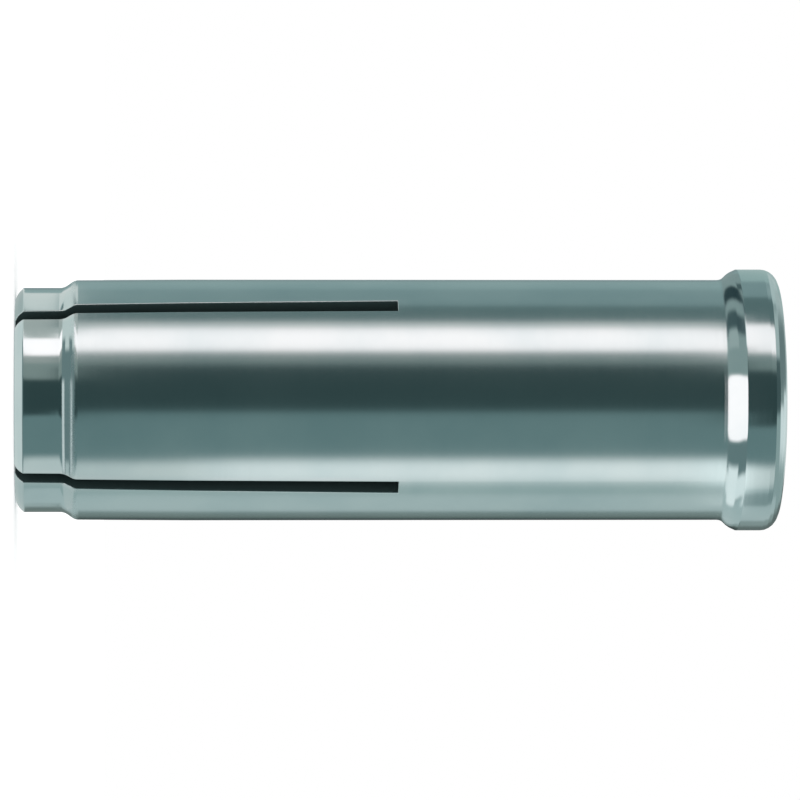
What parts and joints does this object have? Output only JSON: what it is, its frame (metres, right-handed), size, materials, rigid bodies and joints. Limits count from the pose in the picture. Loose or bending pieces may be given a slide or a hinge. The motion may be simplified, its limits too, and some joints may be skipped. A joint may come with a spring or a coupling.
{
  "type": "drop-in anchor",
  "caption": "Slotted steel sleeve with a lipped mouth, an internal thread and a turned-down nose; a tapered plug inside is driven down to spread its fingers in a drilled hole.",
  "frame": {"origin": "on the sleeve's axis, at the flat end of its nose", "axes": "+Z along the axis, out of the threaded mouth; the saw cuts lie 48.5 degrees either side of the Y axis, so one finger faces -Y and one +Y"},
  "size_m": [0.0138, 0.0138, 0.0402],
  "materials": {
    "zinc_plated_steel": "turned steel, bright zinc plated with a clear blue passivation",
    "plain_steel": "cold-formed steel, thinly zinc plated, duller than the sleeve"
  },
  "bodies": {
    "root": {"sleeve": "zinc_plated_steel", "expander_plug": "plain_steel"}
  },
  "joints": []
}
